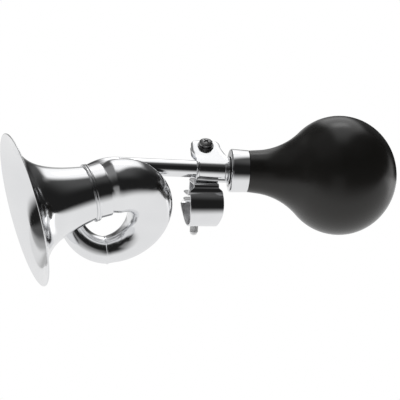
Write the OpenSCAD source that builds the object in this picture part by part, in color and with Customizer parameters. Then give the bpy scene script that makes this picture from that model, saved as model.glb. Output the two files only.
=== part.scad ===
// Bulb horn for a bicycle handlebar, with a coiled tube and a flared bell.
// Origin: centre of the handlebar in its strap. +X runs along the pipe to the bulb, +Z is up.
// The coil comes forward on the -Y side. The horn is modelled upright, then turned in its strap.

/* [Bell] */
// Radius of the bell's rim
rim_r = 43.8; // [36:0.2:50]
// Length of the bell from its throat to its rim
bell_len = 38.6; // [32:0.2:48]
// Radius of the throat where the bell joins the coil
throat_r = 15.3; // [14.8:0.1:17]
// Power of the flare: a lower one keeps the bell slim for longer
flare_power = 0.412; // [0.36:0.002:0.46]
// Thickness of the bell's sheet
bell_wall = 0.8; // [0.5:0.1:1.2]
// Width of the beaded ring between bell and coil
bell_ring_w = 2.6; // [2:0.2:4]
// Height of the beads over the throat
bell_ring_h = 0.9; // [0.5:0.1:1.5]

/* [Coil] */
// Radius of the wide tube where it enters the sleeve
wide_r = 14; // [13:0.1:14.6]
// Largest radius of the wide tube, where the turn ends
bulge_r = 15.3; // [14:0.1:15.8]
// Radius of the tube at the far right of the coil
turn_r = 13.3; // [11:0.1:13.8]
// Radius of the tube at the seam below
seam_r = 7.85; // [6.8:0.05:8.6]
// Bend radius from the seam to the far right of the coil
front_low_bend = 23.3; // [21:0.1:26]
// Bend radius from the far right of the coil to the bell tube
front_top_bend = 19.2; // [18:0.1:22]
// Bend radius from the far left of the coil to the seam
rear_low_bend = 21.7; // [19:0.1:25]
// Bend radius from the pipe to the far left of the coil
rear_top_bend = 27.2; // [24:0.1:30]
// Straight length of the front bend after the seam
seam_straight = 4.9; // [4:0.1:8]
// Wall of the coil's tubes
tube_wall = 0.8; // [0.5:0.1:1.2]
// Length of the sleeve that joins the coil to the bell
sleeve_len = 8.5; // [6:0.5:12]
// How far the bell's throat lies left of the seam, along the bell's axis
throat_back = 5.6; // [3:0.1:7]
// Width of the soldered ring over the seam
seam_ring_w = 1; // [0.8:0.1:2]
// Lean of the front bend towards the listener
bend_tilt = 33; // [30:1:38]
// Downward pitch of the bell
bell_pitch = 16.6; // [12:0.2:20]
// Swing of the bell towards the listener
bell_yaw = 9.2; // [6:0.2:12]
// Distance of the seam left of the origin
seam_x = 59.5; // [58:0.5:70]

/* [Pipe] */
// Distance from the rivet to the point that the horn is measured from
horn_x = 4.1; // [3:0.1:5]
// Turn of the horn in its strap, with the coil going down in front
horn_roll = 12.7; // [8:0.1:16]
// Outer radius of the pipe
pipe_r = 5; // [4.6:0.1:5.4]
// Height of the pipe's axis over the handlebar's axis
pipe_z = 21.3; // [21:0.1:23]
// End of the pipe, in the bulb's holder
pipe_end = 12; // [11:0.5:14]
// Outer radius of the collar on the pipe's end
collar_r = 7; // [6.6:0.1:7.4]
// End of the collar inside the holder
collar_end = 19; // [17:0.5:20]

/* [Bulb] */
// Radius of the rubber bulb
bulb_r = 34.9; // [30:0.1:38]
// Distance of the bulb's centre from the origin
bulb_x = 75.2; // [70:0.1:84]
// Length of the bulb against its width
bulb_squash = 0.966; // [0.94:0.002:1]
// Radius of the rubber neck next to its holder
neck_r = 12.1; // [11.9:0.1:12.6]
// Half angle of the neck's cone
neck_angle = 6.6; // [4:0.2:12]
// Radius where the neck starts to flow into the bulb
neck_end_r = 12.7; // [12.6:0.1:15]
// Radius of the curve from neck to bulb
neck_fillet = 41; // [32:1:46]
// Wall of the rubber
rubber_wall = 2.4; // [1.6:0.1:3]
// Start of the chromed holder
holder_x = 10.3; // [10.2:0.1:11]
// Length of the chromed holder
holder_len = 10.6; // [9:0.1:13]
// Radius of the holder at its open end
holder_r = 12.2; // [11.9:0.05:12.6]
// How much wider the holder is at its closed end
holder_taper = 0.4; // [0:0.05:0.6]
// Wall of the holder
holder_wall = 0.75; // [0.5:0.05:1]

/* [Reed] */
// Outer radius of the reed's brass tube
reed_tube_r = 3.2; // [2.8:0.1:3.6]
// Far end of the reed's brass tube
reed_end = 33; // [28:1:38]
// Width of the brass tongue
tongue_w = 4.2; // [3.4:0.1:4.6]
// Thickness of the brass tongue
tongue_t = 0.3; // [0.2:0.05:0.4]

/* [Pipe strap] */
// Distance from the rivet to the middle of the pipe strap
strap_x = 4; // [3:0.1:4.1]
// Half width of the strap round the pipe
strap_half = 9.2; // [7:0.1:9.3]
// Thickness of the strap's steel
strap_t = 1.1; // [0.8:0.1:1.4]
// Angle of the two ears over the level
ear_angle = 27; // [20:1:32]
// Length of the ears from the pipe's axis
ear_len = 20; // [18.5:0.5:23]
// Width of the ears at their end
ear_w = 16.8; // [13:0.1:17.4]
// How far the ears lean to the bell from the strap's middle
ear_lean = 3; // [1:0.1:3.6]
// Distance of the screw from the pipe's axis, along the ears
ear_screw = 14.5; // [12.4:0.1:14.8]
// Gap between the ears
ear_gap = 2.4; // [1.6:0.1:3]

/* [Handlebar strap] */
// Diameter of the handlebar that the strap takes
bar_d = 22.2; // [21:0.1:23]
// Width of the handlebar strap
bar_strap_w = 20; // [18:0.2:22]
// Width of the handlebar strap under the handlebar
bar_low_w = 17; // [15:0.2:18]
// Width of the strap behind the handlebar, over its ears
bar_back_w = 12; // [12:0.2:15]
// Thickness of its steel
bar_strap_t = 1.2; // [1:0.1:1.3]
// Turn of the handlebar away from the pipe's line
bar_angle = 8; // [0:1:15]
// Underside of the saddle that carries the pipe strap
saddle_z = 13.3; // [13.2:0.1:13.5]
// Width of the saddle along the handlebar
saddle_w = 15; // [14:0.5:17.5]
// Depth of the saddle in front of the rivet
saddle_front = 7.6; // [7:0.1:9]
// Depth of the saddle behind the rivet
saddle_back = 10; // [9:0.1:10.5]
// End of the strap's ears behind the handlebar
bar_ear_end = 23.5; // [23:0.5:26]
// Width of the ears at their end
bar_ear_w = 12; // [11:0.5:14]
// Height of the upper ear's underside
bar_ear_z = 2.7; // [2:0.1:3.2]
// Gap between the strap's ears
bar_gap = 3; // [2:0.2:4]
// Distance of the strap's screw behind the handlebar's axis
bar_screw_y = 17.2; // [17:0.1:17.8]
// How far it sits to the bulb's side of the ears' middle
bar_screw_side = 0.9; // [0:0.1:1.2]

/* [Screws] */
// Diameter of the pipe strap's screw
pipe_screw_d = 4; // [3.8:0.1:4.2]
// Diameter of its head
pipe_head_d = 8.2; // [7.6:0.1:8.6]
// Length of it under its head
pipe_screw_len = 12; // [11:1:14]
// Width across the flats of its nut
pipe_nut_af = 7; // [6.6:0.1:7.4]
// Diameter of the handlebar strap's screw
bar_screw_d = 5; // [4.6:0.1:5.2]
// Diameter of its head
bar_head_d = 9; // [8.4:0.1:9.2]
// Length of it under its head
bar_screw_len = 27; // [22:1:30]
// Width across the flats of its nut
bar_nut_af = 8; // [7.6:0.1:8.4]
// Height of both heads
head_h = 3; // [2.6:0.1:3.1]
// Thickness of both nuts
nut_h = 3.2; // [2.6:0.1:3.4]
// Thickness of the washers
washer_t = 0.8; // [0.5:0.1:0.8]

/* [Hidden] */
$fn = 64;
CHROME = [0.86, 0.87, 0.88];
BRASS = [0.78, 0.62, 0.30];
RUBBER = [0.10, 0.10, 0.10];
STEEL = [0.55, 0.56, 0.58];

fit = 0.05; // radial play of turning fits
seat = 0.05; // play between soldered or stacked pieces
screw_play = 0.15; // radial play of the screws in straps and washers
rivet_r = 2; // radius of the rivet
rivet_head_r = 2.7; // radius of its flat head over the pipe strap's base
rivet_head_h = 0.45; // height of that head
rivet_tail_r = 3.2; // radius of its tail under the saddle
rivet_tail_h = 1; // height of that tail
spring_r = 4.4; // radius of the spring washer
spring_t = 0.6; // thickness of the spring washer
flange_t = 0.5; // thickness of the collar's flange
flange_over = 1.3; // how far the flange stands out
cup_floor = 1.3; // thickness of the holder's closed end
reed_flange = 1.2; // how far the reed's flange stands out, and the tube's wall
tongue_gap = 0.3; // opening under the brass tongue
tongue_root_r = 0.4; // radius of the tongue's rolled root
clip_w = 3; // width of the clip on the tongue
foot_half = 4.4; // half depth of the pipe strap's base
ear_corner = 4; // rounding of the pipe strap's ears
bar_corner = 3; // chamfer of the handlebar strap's ears
sides = 32; // sides of the swept tubes
steps = 10; // rings in each quarter bend
far = 60; // longer than any cut

// Places along the coil. Its front bend lies in a plane that is tilted, pitched and swung.
seam_z = pipe_z - rear_top_bend - rear_low_bend;
seam_point = [-seam_x, 0, seam_z];
pipe_start = -seam_x - rear_low_bend + rear_top_bend;
throat_side = front_low_bend + front_top_bend;
top_bend_x = seam_straight + front_low_bend - front_top_bend;

function turn_x(a) = [[1, 0, 0], [0, cos(a), -sin(a)], [0, sin(a), cos(a)]];
function turn_y(a) = [[cos(a), 0, sin(a)], [0, 1, 0], [-sin(a), 0, cos(a)]];
function turn_z(a) = [[cos(a), -sin(a), 0], [sin(a), cos(a), 0], [0, 0, 1]];
front_frame = turn_z(bell_yaw) * turn_y(-bell_pitch) * turn_x(90 + bend_tilt);
bell_axis = front_frame * [1, 0, 0];
front_normal = front_frame * [0, 0, 1];
throat_point = seam_point + front_frame * [-throat_back, throat_side, 0];

function unit(v) = v / norm(v);
seam_axis = unit([1, 0, 0] + bell_axis);

// Flare of the bell: its radius grows as a power of the distance left to a pole past the rim.
flare_growth = pow(rim_r / throat_r, 1 / flare_power);
pole_x = bell_len * flare_growth / (flare_growth - 1);
throat_slope = flare_power * throat_r / pole_x;

// Flow of the bulb's neck into its sphere.
fillet_y = neck_end_r + neck_fillet * cos(neck_angle);
fillet_x = bulb_x - sqrt(pow(bulb_r + neck_fillet, 2) - fillet_y * fillet_y);
fillet_stop = atan2(bulb_x - fillet_x, fillet_y);

bore_r = pipe_r + fit;
strap_r = bore_r + strap_t;
saddle_top = saddle_z + bar_strap_t;
base_z = saddle_top + seat;
bar_r = bar_d / 2;
bar_out = bar_r + bar_strap_t;
bar_ear_top = bar_ear_z + bar_strap_t;
lower_ear_top = bar_ear_z - bar_gap;
bar_taper_z = bar_r * 0.86;

// Polygon rings swept into a tube with a wall. Each ring is [centre, tangent, radius].
function ring(r, n, wall) =
    let (across = unit(cross(n, r[1])), over = cross(r[1], across))
    [for (i = [0:sides - 1]) let (a = 360 * i / sides) r[0] + (r[2] - wall) * (across * cos(a) + over * sin(a))];

module tube(rings, n) {
    m = len(rings);
    layer = m * sides;
    points = concat([for (r = rings) each ring(r, n, 0)], [for (r = rings) each ring(r, n, tube_wall)]);
    outer = [for (k = [0:m - 2], i = [0:sides - 1])
        let (j = (i + 1) % sides, a = k * sides, b = a + sides)
        each [[a + i, b + i, b + j], [a + i, b + j, a + j]]];
    inner = [for (f = outer) [f[0] + layer, f[2] + layer, f[1] + layer]];
    ends = [for (k = [0, m - 1], i = [0:sides - 1])
        let (j = (i + 1) % sides, a = k * sides, b = a + layer, flip = k == 0)
        each (flip ? [[a + i, a + j, b + j], [a + i, b + j, b + i]]
                   : [[a + i, b + j, a + j], [a + i, b + i, b + j]])];
    polyhedron(points, concat(outer, inner, ends));
}

// Rings of the rear bend, from the pipe round the left to the seam.
function rear_rings() =
    let (total = rear_top_bend + rear_low_bend)
    concat(
        [for (i = [0:steps]) let (a = 90 + 90 * i / steps)
            [[pipe_start + rear_top_bend * cos(a), 0, pipe_z - rear_top_bend + rear_top_bend * sin(a)],
             [-sin(a), 0, cos(a)],
             pipe_r + (seam_r - pipe_r) * rear_top_bend / total * i / steps]],
        [for (i = [1:steps]) let (a = 180 + 90 * i / steps)
            [[-seam_x + rear_low_bend * cos(a), 0, seam_z + rear_low_bend + rear_low_bend * sin(a)],
             i == steps ? seam_axis : [-sin(a), 0, cos(a)],
             seam_r - (seam_r - pipe_r) * rear_low_bend / total * (1 - i / steps)]]
    );

// A place on the front bend, from its own plane.
function front_at(x, y) = seam_point + front_frame * [x, y, 0];
function front_dir(a) = front_frame * [cos(a), sin(a), 0];

// Rings of the front bend, from the seam round the right to the bell's throat.
function front_rings() = concat(
    [[seam_point, seam_axis, seam_r]],
    [for (i = [0:steps]) let (a = 90 * i / steps)
        [front_at(seam_straight + front_low_bend * sin(a), front_low_bend * (1 - cos(a))),
         front_dir(a),
         seam_r + (turn_r - seam_r) * (0.1 + 0.9 * i / steps)]],
    [for (i = [1:steps]) let (a = 90 + 90 * i / steps)
        [front_at(top_bend_x + front_top_bend * sin(a), front_low_bend - front_top_bend * cos(a)),
         front_dir(a),
         turn_r + (bulge_r - turn_r) * i / steps]],
    [[front_at(sleeve_len - throat_back + seat, throat_side), front_dir(180), wide_r],
     [front_at(-throat_back + seat, throat_side), front_dir(180), wide_r]]
);

// Puts a piece of the horn in its place and turns it about the pipe.
module horn() translate([horn_x, 0, pipe_z]) rotate([-horn_roll, 0, 0]) translate([0, 0, -pipe_z]) children();

// Frame of the bell's throat: +Z of the children points from the coil to the mouth.
module at_throat() translate(throat_point) rotate([0, -bell_pitch, bell_yaw]) rotate([0, -90, 0]) children();

// Frame of the pipe: +Z of the children runs along the pipe to the bulb.
module on_pipe(x = 0) translate([x, 0, pipe_z]) rotate([0, 90, 0]) children();

module disc(r, h, hole = 0) difference() {
    cylinder(r = r, h = h);
    if (hole > 0) translate([0, 0, -1]) cylinder(r = hole, h = h + 2);
}

// Both walls of the bell as one outline of radius and height.
bell_steps = 24;
function bell_point(i, t) =
    let (left = pow(1 - bell_len / pole_x, i / bell_steps), r = throat_r * pow(left, -flare_power),
         a = atan(flare_power * r / (pole_x * left)))
    [r - t * cos(a), pole_x * (1 - left) + t * sin(a)];
function bell_side(t) = concat([[throat_r - t, seat]], [for (i = [1:bell_steps]) bell_point(i, t)]);
module bell() color(CHROME) horn() at_throat() rotate_extrude($fn = 96) {
    inner = bell_side(bell_wall);
    polygon(concat(bell_side(0), [for (i = [len(inner) - 1:-1:0]) inner[i]]));
}

// Two beads side by side on a band that bridges the throat.
module bell_ring() color(CHROME) horn() at_throat() rotate_extrude() {
    low = throat_r + bell_ring_w / 2 * throat_slope + 2 * seat;
    bead = bell_ring_w / 4;
    translate([low, -bell_ring_w / 2]) square([bell_ring_h - bead, bell_ring_w]);
    intersection() {
        translate([low, -bell_ring_w / 2]) square([bell_ring_h, bell_ring_w]);
        for (s = [-1, 1]) translate([low + bell_ring_h - bead, s * bead]) circle(r = bead, $fn = 24);
    }
}

// Sleeve over the wide tube's end, as wide outside as the bell's throat.
module coil_sleeve() color(CHROME) horn() at_throat()
    translate([0, 0, -sleeve_len]) disc(throat_r, sleeve_len, wide_r + seat);

module front_bend() color(CHROME) horn() tube(front_rings(), front_normal);
module rear_bend() color(CHROME) horn() tube(rear_rings(), [0, -1, 0]);

// Soldered ring over the seam of the two bends, set to the mitre between them.
module seam_ring() color(CHROME) horn()
    translate(seam_point)
    rotate([0, acos(seam_axis[2]), atan2(seam_axis[1], seam_axis[0])])
    rotate_extrude() {
        low = seam_r + seam_ring_w / 2 * tan(bell_pitch / 2) + 0.2;
        translate([low, -seam_ring_w / 2]) square([0.15, seam_ring_w]);
        translate([low + 0.15, 0]) scale([0.5, 1]) circle(r = seam_ring_w / 2, $fn = 24);
    }

module pipe() color(CHROME) horn() on_pipe(pipe_start)
    disc(pipe_r, pipe_end - pipe_start, pipe_r - tube_wall);

// Collar on the pipe's end, with the flange that stops the bulb's holder.
flange_x = holder_x - 1;
module pipe_collar() color(CHROME) horn() difference() {
    union() {
        on_pipe(flange_x) disc(collar_r + flange_over, flange_t);
        on_pipe(flange_x) disc(collar_r, collar_end - flange_x);
    }
    on_pipe(flange_x - 1) disc(pipe_r + seat, pipe_end - flange_x + 1);
    on_pipe(pipe_end - 1) disc(reed_tube_r + reed_flange + 0.2, far);
}

module collar_washer() color(RUBBER) horn() on_pipe(flange_x + flange_t)
    disc(collar_r + flange_over - 0.1, holder_x - flange_x - flange_t, collar_r + seat);

// Chromed cup that holds the rubber neck: a rounded closed end with a hole for the collar.
cup_bore = holder_r - holder_wall;
module bulb_holder() color(CHROME) horn() on_pipe(holder_x) difference() {
    round_r = 1.2;
    rotate_extrude() {
        wide = holder_r + holder_taper;
        polygon(concat(
            [[0, 0]],
            [for (a = [0:15:90]) [wide - round_r + round_r * sin(a), round_r - round_r * cos(a)]],
            [[holder_r, holder_len], [0, holder_len]]
        ));
    }
    translate([0, 0, -1]) cylinder(r = collar_r + 0.08, h = far);
    translate([0, 0, cup_floor]) cylinder(r = cup_bore, h = far);
}

// One wall of the rubber from the neck to the far end, inside the outer one by t.
function bulb_point(x, y) = [y, bulb_x + bulb_squash * (x - bulb_x)];
function bulb_side(t) = concat(
    [for (i = [0:12]) let (a = neck_angle + (fillet_stop - neck_angle) * i / 12)
        bulb_point(fillet_x + (neck_fillet + t) * sin(a), fillet_y - (neck_fillet + t) * cos(a))],
    [for (i = [1:28]) let (a = (180 - fillet_stop) * (1 - i / 28))
        bulb_point(bulb_x + (bulb_r - t) * cos(a), (bulb_r - t) * sin(a))]
);

// Rubber bulb with its neck seated in the cup, hollow and open through the neck.
module bulb() color(RUBBER) horn() on_pipe(0) {
    start = holder_x + cup_floor + seat;
    shoulder = holder_x + holder_len + seat;
    tuck_r = cup_bore - seat;
    bore = tuck_r - rubber_wall;
    rotate_extrude($fn = 96) difference() {
        polygon(concat(
            [[0, start], [tuck_r, start], [tuck_r, shoulder], [neck_r, shoulder]],
            bulb_side(0)
        ));
        polygon(concat(
            [[0, start - 1], [bore, start - 1], [bore, shoulder]],
            bulb_side(rubber_wall)
        ));
    }
}

// Brass reed tube: a plug in the pipe's end, a flange, and a tube with a flat cut on top.
plug_r = pipe_r - tube_wall - seat;
flat_h = reed_tube_r * 0.45;
module reed_tube() color(BRASS) horn() difference() {
    union() {
        on_pipe(pipe_end - 4) cylinder(r = plug_r, h = 5);
        on_pipe(pipe_end + seat) cylinder(r = reed_tube_r + reed_flange, h = 1);
        difference() {
            on_pipe(pipe_end) cylinder(r = reed_tube_r, h = reed_end - pipe_end);
            translate([pipe_end + 1 + seat, -far / 2, pipe_z + flat_h]) cube([far, far, far]);
        }
    }
    on_pipe(pipe_end - 5) cylinder(r = reed_tube_r - reed_flange, h = reed_end - pipe_end + 3.5);
    slot_w = tongue_w * 0.45;
    translate([pipe_end + 8, -slot_w / 2, pipe_z]) cube([reed_end - pipe_end - 11, slot_w, far]);
}

clip_x = pipe_end + 2.6;
root_x = pipe_end + 1.8;
module reed_tongue() color(BRASS) horn()
    translate([root_x, -tongue_w / 2, pipe_z + flat_h + tongue_gap]) {
        cube([reed_end - 1.5 - root_x, tongue_w, tongue_t]);
        translate([0, 0, tongue_root_r]) rotate([-90, 0, 0]) cylinder(r = tongue_root_r, h = tongue_w);
    }

// Clip that holds the tongue's root down on the flat.
module reed_clip() color(BRASS) horn() difference() {
    on_pipe(clip_x) disc(reed_tube_r + 0.9, clip_w);
    intersection() {
        on_pipe(clip_x - 1) cylinder(r = reed_tube_r + seat, h = clip_w + 2);
        translate([clip_x - 2, -far / 2, pipe_z - far])
            cube([clip_w + 4, far, far + flat_h + tongue_gap + tongue_t + tongue_gap]);
    }
}

// Outline of the pipe strap's ring with its flat base, seen along the pipe.
module strap_outline() difference() {
    base = base_z - pipe_z;
    slot_half = rivet_head_r + 0.6;
    union() {
        circle(r = strap_r);
        translate([-foot_half, base]) square([2 * foot_half, -base]);
    }
    translate([-slot_half, base + strap_t]) square([2 * slot_half, 3]);
}

// Frame of the ears: +X along the pipe, +Y out along the ears, +Z to the screw's head.
module on_ears(lean = 0) translate([strap_x - lean, 0, pipe_z]) rotate([ear_angle, 0, 0]) children();

module pipe_strap() color(CHROME) difference() {
    over = ear_gap / 4;
    union() {
        translate([strap_x - strap_half, 0, pipe_z]) rotate([90, 0, 90])
            linear_extrude(height = 2 * strap_half) strap_outline();
        on_ears() {
            translate([0, 0, bore_r - over]) linear_extrude(height = strap_t + over) ear_plan();
            translate([0, 0, bore_r - ear_gap - strap_t]) linear_extrude(height = strap_t + over) ear_plan();
        }
    }
    translate([-far / 2, 0, pipe_z]) rotate([0, 90, 0]) cylinder(r = bore_r, h = far);
    on_ears() translate([-far / 2, 0, bore_r - ear_gap]) cube([far, far, ear_gap]);
    on_ears(ear_lean) translate([0, ear_screw, -far / 2]) cylinder(r = pipe_screw_d / 2 + screw_play, h = far);
    translate([0, 0, base_z - 1]) cylinder(r = rivet_r + seat, h = strap_t + 1.5);
}

// Plan of the ears: a little narrower than the ring at their root, with a rounded end.
module ear_plan() {
    root = strap_half - 0.4;
    shoulder = strap_r + 2;
    side = ear_w / 2 - ear_corner;
    polygon([
        [-root, 0], [root, 0], [root + 0.2, strap_r], [ear_w / 2 - ear_lean, ear_len - ear_corner],
        [-ear_w / 2 - ear_lean, ear_len - ear_corner], [-ear_w / 2 - ear_lean, shoulder]
    ]);
    translate([-ear_lean, 0]) {
        for (s = [-1, 1]) translate([s * side, ear_len - ear_corner]) circle(r = ear_corner, $fn = 48);
        translate([-side, ear_len - ear_corner - 1]) square([2 * side, ear_corner + 1]);
    }
}

// A pan-head screw with a cross recess and a rounded end. The head's seat is at z = 0.
module screw(len, d, head_d) difference() {
    rim_h = head_h * 0.55;
    dome = head_h - rim_h;
    dome_r = (pow(head_d / 2, 2) + dome * dome) / (2 * dome);
    recess = head_d * 0.28;
    tip = d * 0.35;
    union() {
        translate([0, 0, tip - len]) cylinder(r = d / 2, h = len - tip + 1);
        translate([0, 0, tip - len]) rotate_extrude() intersection() {
            translate([0, -tip]) square([d / 2, tip]);
            scale([1, 2 * tip / d]) circle(r = d / 2);
        }
        cylinder(r = head_d / 2, h = rim_h);
        translate([0, 0, rim_h]) rotate_extrude() intersection() {
            square([head_d / 2, dome]);
            translate([0, dome - dome_r]) circle(r = dome_r, $fn = 96);
        }
    }
    for (a = [0, 90]) rotate(a) translate([-recess, -0.5, head_h * 0.4]) cube([2 * recess, 1, head_h]);
}

module nut(d, af) translate([0, 0, -nut_h]) difference() {
    cylinder(r = af / 2 / cos(30), h = nut_h, $fn = 6);
    translate([0, 0, -1]) cylinder(r = d / 2 + fit, h = nut_h + 2);
}

module washer(d, head_d) disc(head_d / 2 + 0.6, washer_t, d / 2 + screw_play);

ear_top = bore_r + strap_t;
ear_under = bore_r - ear_gap - strap_t;
module at_ear_screw(z) on_ears(ear_lean) translate([0, ear_screw, z]) children();
module pipe_screw_washer() color(STEEL) at_ear_screw(ear_top) washer(pipe_screw_d, pipe_head_d);
module pipe_screw() color(STEEL)
    at_ear_screw(ear_top + washer_t) screw(pipe_screw_len, pipe_screw_d, pipe_head_d);
module pipe_nut() color(STEEL) at_ear_screw(ear_under) nut(pipe_screw_d, pipe_nut_af);

// Rivet on which the pipe strap swivels, with its spring washer under the saddle.
module swivel_rivet() color(STEEL) {
    top = base_z + strap_t;
    under = saddle_z - spring_t - 2 * seat;
    translate([0, 0, under - rivet_tail_h / 2]) cylinder(r = rivet_r, h = top + rivet_head_h / 2 - under + rivet_tail_h / 2);
    translate([0, 0, top]) cylinder(r = rivet_head_r, h = rivet_head_h);
    translate([0, 0, under - rivet_tail_h]) cylinder(r = rivet_tail_r, h = rivet_tail_h);
}
module swivel_washer() color(STEEL)
    translate([0, 0, saddle_z - spring_t - seat]) disc(spring_r, spring_t, rivet_r + seat);

// Outline of the handlebar strap seen along the bar: loop, saddle and two ears.
module bar_outline() difference() {
    union() {
        circle(r = bar_out, $fn = 96);
        translate([-saddle_front, 0]) square([saddle_front + saddle_back, saddle_top]);
        translate([0, bar_ear_z]) square([bar_ear_end, bar_strap_t]);
        translate([0, lower_ear_top - bar_strap_t]) square([bar_ear_end, bar_strap_t]);
    }
    circle(r = bar_r, $fn = 96);
    translate([bar_strap_t - saddle_front, 0])
        square([saddle_front + saddle_back - 2 * bar_strap_t, saddle_z]);
    translate([0, lower_ear_top]) square([bar_ear_end + 1, bar_gap]);
}

module on_bar() rotate([0, 0, bar_angle]) children();

module bar_strap() color(CHROME) on_bar() difference() {
    translate([-bar_strap_w / 2, 0, 0]) rotate([90, 0, 90])
        linear_extrude(height = bar_strap_w) bar_outline();
    // Both sides taper from the loop up to the narrower saddle, under it, and back to the narrower ears.
    for (side = [0, 1]) mirror([side, 0, 0]) {
        rotate([90, 0, 0]) translate([0, 0, -far / 2]) linear_extrude(height = far) polygon([
            [bar_strap_w / 2, bar_taper_z], [saddle_w / 2, saddle_z - 1], [saddle_w / 2, far],
            [bar_strap_w, far], [bar_strap_w, -far], [bar_low_w / 2, -far], [bar_low_w / 2, -bar_out],
            [bar_strap_w / 2, 0]
        ]);
        translate([0, 0, bar_ear_z / 2]) linear_extrude(height = far) polygon([
            [bar_strap_w / 2, 1], [bar_back_w / 2, saddle_back - bar_strap_t], [bar_back_w / 2, far],
            [bar_strap_w, far], [bar_strap_w, 1]
        ]);
        translate([0, 0, -far / 2]) linear_extrude(height = far) polygon([
            [bar_strap_w / 2, bar_out], [bar_ear_w / 2, bar_screw_y], [bar_ear_w / 2, bar_ear_end - bar_corner],
            [bar_ear_w / 2 - bar_corner, bar_ear_end + 0.01], [bar_strap_w, far], [bar_strap_w, bar_out]
        ]);
    }
    translate([bar_screw_side, bar_screw_y, -far / 2]) cylinder(r = bar_screw_d / 2 + screw_play, h = far);
    translate([0, 0, saddle_z - 1]) cylinder(r = rivet_r + fit, h = 4);
}

module at_bar_screw(z) on_bar() translate([bar_screw_side, bar_screw_y, z]) children();
module bar_screw_washer() color(STEEL) at_bar_screw(bar_ear_top) washer(bar_screw_d, bar_head_d);
module bar_screw() color(STEEL)
    at_bar_screw(bar_ear_top + washer_t) screw(bar_screw_len, bar_screw_d, bar_head_d);
module bar_nut() color(STEEL) at_bar_screw(lower_ear_top - bar_strap_t) nut(bar_screw_d, bar_nut_af);

bell();
bell_ring();
coil_sleeve();
front_bend();
seam_ring();
rear_bend();
pipe();
pipe_collar();
collar_washer();
bulb_holder();
bulb();
reed_tube();
reed_tongue();
reed_clip();
pipe_strap();
pipe_screw();
pipe_screw_washer();
pipe_nut();
swivel_rivet();
swivel_washer();
bar_strap();
bar_screw();
bar_screw_washer();
bar_nut();
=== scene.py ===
"""Chromed bicycle horn with a rubber bulb: its looks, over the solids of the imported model."""

import math

import bpy
from mathutils import Matrix, Vector


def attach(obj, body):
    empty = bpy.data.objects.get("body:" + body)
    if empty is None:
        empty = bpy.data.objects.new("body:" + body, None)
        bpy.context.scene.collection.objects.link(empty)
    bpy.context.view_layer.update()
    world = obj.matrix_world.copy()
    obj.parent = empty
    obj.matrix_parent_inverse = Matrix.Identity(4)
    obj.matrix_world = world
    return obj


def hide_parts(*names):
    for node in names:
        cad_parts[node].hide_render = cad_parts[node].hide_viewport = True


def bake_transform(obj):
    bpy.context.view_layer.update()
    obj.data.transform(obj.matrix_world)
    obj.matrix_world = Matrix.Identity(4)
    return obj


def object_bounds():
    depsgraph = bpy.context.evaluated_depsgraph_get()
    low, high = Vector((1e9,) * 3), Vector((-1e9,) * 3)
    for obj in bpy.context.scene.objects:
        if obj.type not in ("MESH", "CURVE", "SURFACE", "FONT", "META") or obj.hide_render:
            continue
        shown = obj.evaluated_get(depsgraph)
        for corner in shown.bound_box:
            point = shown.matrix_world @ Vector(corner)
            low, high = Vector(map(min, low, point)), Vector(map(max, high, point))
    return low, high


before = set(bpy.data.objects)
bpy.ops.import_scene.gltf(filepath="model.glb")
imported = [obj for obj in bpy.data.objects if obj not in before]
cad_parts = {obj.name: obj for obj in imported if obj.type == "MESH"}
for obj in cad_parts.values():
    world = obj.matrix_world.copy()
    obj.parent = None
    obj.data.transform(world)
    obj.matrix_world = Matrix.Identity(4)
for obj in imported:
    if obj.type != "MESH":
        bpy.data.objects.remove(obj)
solid_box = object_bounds()

# Every length below is in millimetres. Pieces become metres when they are placed.
MM = 0.001
# Gap that keeps pieces just apart which touch in the real horn.
PLAY = 0.05

# The coil and the bell, in the horn's own frame, before the horn is turned in its strap.
RIM_R = 43.8
BELL_LEN = 38.6
THROAT_R = 15.3
FLARE_POWER = 0.412
BELL_WALL = 0.8
TURN_R = 13.3
BULGE_R = 15.3
WIDE_R = 14.0
SEAM_R = 7.85
FRONT_LOW_BEND = 23.3
FRONT_TOP_BEND = 19.2
REAR_LOW_BEND = 21.7
REAR_TOP_BEND = 27.2
SEAM_STRAIGHT = 4.9
SLEEVE_LEN = 8.5
THROAT_BACK = 5.6
BEND_TILT = 33.0
BELL_PITCH = 16.6
BELL_YAW = 9.2
SEAM_X = 59.5
# Each bend is drawn this far past the seam, and trimmed there within this reach.
PAST_SEAM = 8.0
SEAM_REACH = 14.0
TUBE_WALL = 0.8

# Pipe, holder and bulb.
HORN_X = 4.1
HORN_ROLL = 12.7
PIPE_R = 5.0
PIPE_Z = 21.3
PIPE_END = 12.0
COLLAR_R = 7.0
COLLAR_END = 19.0
FLANGE_X = 9.3
FLANGE_R = 8.3
FLANGE_T = 0.5
HOLDER_X = 10.3
HOLDER_LEN = 10.6
HOLDER_R = 12.2
HOLDER_WIDE_R = 12.6
HOLDER_WALL = 0.75
CUP_FLOOR = 1.3
BULB_R = 34.9
BULB_X = 75.2
BULB_SQUASH = 0.966
NECK_R = 12.1
NECK_ANGLE = 6.6
NECK_END_R = 12.7
NECK_FILLET = 41.0
RUBBER_WALL = 2.4

# Reed.
REED_TUBE_R = 3.2
REED_END = 33.0
REED_FLANGE_R = 4.4
TONGUE_W = 4.2
TONGUE_T = 0.3
TONGUE_GAP = 0.3
REED_FLAT = 1.44

# Pipe strap.
STRAP_X = 4.0
STRAP_HALF = 9.2
STRAP_T = 1.1
SHEET_EDGE = 0.45
BORE_R = PIPE_R + PLAY
EAR_ANGLE = 27.0
EAR_LEN = 20.0
EAR_W = 16.8
EAR_LEAN = 3.0
EAR_SCREW = 14.5
EAR_GAP = 2.4
LIP_R = 0.95
LOW_LIP_R = 0.6
# The lips run between these angles below the upper ear.
LIP_FROM = 4.0
LIP_TO = 266.0
EAR_CORNER = 4.0
FOOT_HALF = 4.4
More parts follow.
